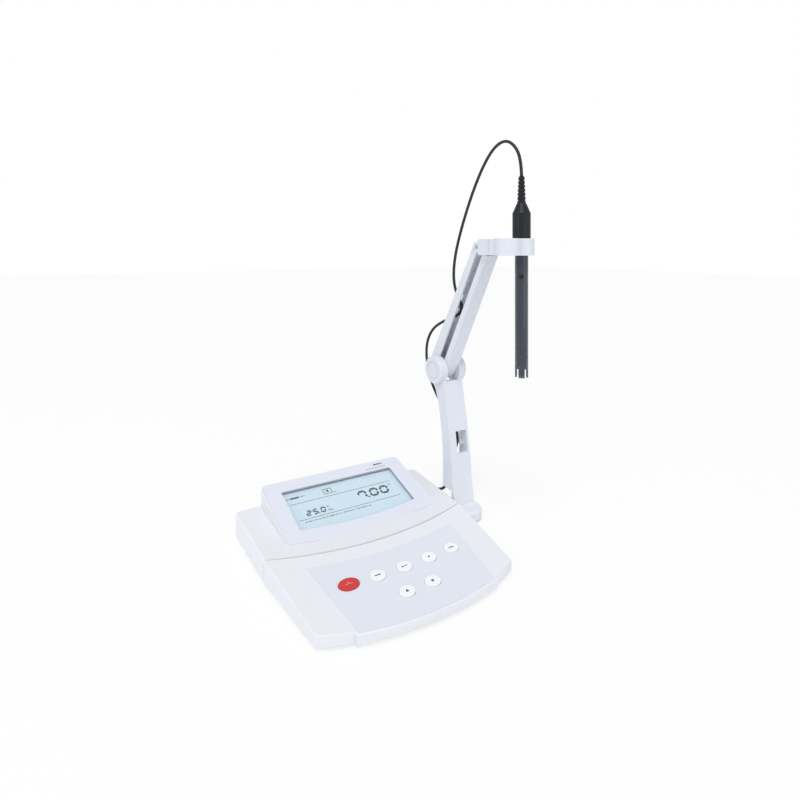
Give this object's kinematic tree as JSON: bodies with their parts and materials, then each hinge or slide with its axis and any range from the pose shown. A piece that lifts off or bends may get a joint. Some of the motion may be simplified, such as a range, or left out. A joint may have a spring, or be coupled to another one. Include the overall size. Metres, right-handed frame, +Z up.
{
  "type": "ph meter",
  "caption": "Bench pH meter: wedge-shaped console with display and keypad, swivelling parallelogram arm that holds an electrode, and its lead.",
  "frame": {"origin": "on the table under the middle of the whole instrument, without its lead and plug", "axes": "+X to the console's right, +Y to its back, +Z up"},
  "size_m": [0.2436, 0.2498, 0.3848],
  "materials": {
    "case_white": "satin moulded ABS",
    "panel_lavender": "printed film, fine texture",
    "arm_white": "satin moulded ABS",
    "key_white": "soft moulded rubber",
    "key_red": "soft moulded rubber",
    "window_clear": "clear acrylic",
    "lcd_face": "pale blue liquid-crystal cell",
    "light_guide": "white light guide",
    "board_green": "solder mask",
    "parts_black": "moulded epoxy",
    "steel": "zinc-plated steel",
    "bracket_steel": "zinc-plated sheet",
    "rubber_black": "soft black rubber",
    "mat_grey": "silicone key mat",
    "socket_black": "moulded socket body",
    "nickel": "nickel-plated brass",
    "bush": "acetal bush",
    "tube_smoke": "smoked polycarbonate tube",
    "clear_glass": "pH-sensitive glass",
    "cap_black": "moulded cap",
    "ceramic": "ceramic junction",
    "lead_black": "lead jacket"
  },
  "bodies": {
    "console": {"bottom_case": "case_white", "rear_cover": "case_white", "front_cover": "case_white", "display_panel": "panel_lavender", "display_window": "window_clear", "lcd_glass": "lcd_face", "lcd_backlight": "light_guide", "main_board": "board_green", "key_board": "board_green", "board_parts": "parts_black", "keypad_overlay": "panel_lavender", "key_mat": "mat_grey", "rubber_feet": "rubber_black", "case_screws": "steel", "board_screws": "steel", "electrode_socket": "nickel", "temperature_socket": "socket_black", "power_socket": "socket_black", "data_socket": "nickel", "arm_bracket": "bracket_steel", "bracket_screws": "steel", "bracket_foot": "rubber_black", "swivel_stud": "steel", "lead_floor": "lead_black", "lead_coil": "lead_black", "coil_tie": "parts_black", "lead_tail": "lead_black", "plug_shell": "nickel", "plug_body": "nickel", "plug_pin": "nickel", "plug_boot": "cap_black"},
    "column": {"lower_arm": "arm_white", "swivel_bush": "bush", "left_elbow_cap": "arm_white", "right_elbow_cap": "arm_white", "rear_elbow_pin": "steel", "front_elbow_pin": "steel", "lead_elbow": "lead_black"},
    "rear_link": {"rear_link": "arm_white", "rear_top_pin": "steel", "lead_upper": "lead_black"},
    "front_link": {"front_link": "arm_white", "front_top_pin": "steel"},
    "holder": {"electrode_holder": "arm_white"},
    "electrode": {"electrode_tube": "tube_smoke", "tip_guard": "tube_smoke", "glass_stem": "clear_glass", "glass_bulb": "clear_glass", "junction_ring": "ceramic", "filling_plug": "cap_black", "electrode_cap": "cap_black", "strain_relief": "cap_black", "lead_loop": "lead_black"},
    "power_key": {"power_key": "key_red"},
    "mode_key": {"mode_key": "key_white"},
    "calibrate_key": {"calibrate_key": "key_white"},
    "hold_key": {"hold_key": "key_white"},
    "enter_key": {"enter_key": "key_white"},
    "up_key": {"up_key": "key_white"},
    "down_key": {"down_key": "key_white"}
  },
  "joints": [
    {"name": "arm_swivel", "type": "hinge", "parent": "console", "child": "column", "pos_m": [0.10128, 0.0115, 0.0025], "axis": [0, 0, 1], "range_deg": [-90, 90], "deforming": ["lead_floor", "lead_elbow"]},
    {"name": "elbow", "type": "hinge", "parent": "column", "child": "rear_link", "pos_m": [0.10128, 0.0563, 0.1503], "axis": [1, 0, 0], "range_deg": [-27, 52], "deforming": ["lead_elbow", "lead_upper"]},
    {"name": "front_link_pivot", "type": "hinge", "parent": "column", "child": "front_link", "pos_m": [0.10128, 0.04573, 0.14233], "axis": [1, 0, 0], "range_deg": [-27, 52]},
    {"name": "holder_level", "type": "hinge", "parent": "rear_link", "child": "holder", "pos_m": [0.10128, -0.01226, 0.2809], "axis": [1, 0, 0], "range_deg": [-52, 27], "deforming": ["lead_upper", "lead_loop"]},
    {"name": "electrode_lift", "type": "slide", "parent": "holder", "child": "electrode", "axis": [0, 0, 1], "range_m": [0, 0.04], "deforming": ["lead_loop"]},
    {"name": "power_key_press", "type": "slide", "parent": "console", "child": "power_key", "axis": [0, 0.1133, -0.9936], "range_m": [0, 0.0007], "stiffness_N_per_m": 400, "springref_m": -0.001},
    {"name": "mode_key_press", "type": "slide", "parent": "console", "child": "mode_key", "axis": [0, 0.1133, -0.9936], "range_m": [0, 0.0007], "stiffness_N_per_m": 400, "springref_m": -0.001},
    {"name": "calibrate_key_press", "type": "slide", "parent": "console", "child": "calibrate_key", "axis": [0, 0.1133, -0.9936], "range_m": [0, 0.0007], "stiffness_N_per_m": 400, "springref_m": -0.001},
    {"name": "hold_key_press", "type": "slide", "parent": "console", "child": "hold_key", "axis": [0, 0.1133, -0.9936], "range_m": [0, 0.0007], "stiffness_N_per_m": 400, "springref_m": -0.001},
    {"name": "enter_key_press", "type": "slide", "parent": "console", "child": "enter_key", "axis": [0, 0.1133, -0.9936], "range_m": [0, 0.0007], "stiffness_N_per_m": 400, "springref_m": -0.001},
    {"name": "up_key_press", "type": "slide", "parent": "console", "child": "up_key", "axis": [0, 0.1133, -0.9936], "range_m": [0, 0.0007], "stiffness_N_per_m": 400, "springref_m": -0.001},
    {"name": "down_key_press", "type": "slide", "parent": "console", "child": "down_key", "axis": [0, 0.1133, -0.9936], "range_m": [0, 0.0007], "stiffness_N_per_m": 400, "springref_m": -0.001}
  ],
  "couplings": [
    {"joint": "front_link_pivot", "follows": "elbow", "ratio": 1},
    {"joint": "holder_level", "follows": "elbow", "ratio": -1}
  ]
}
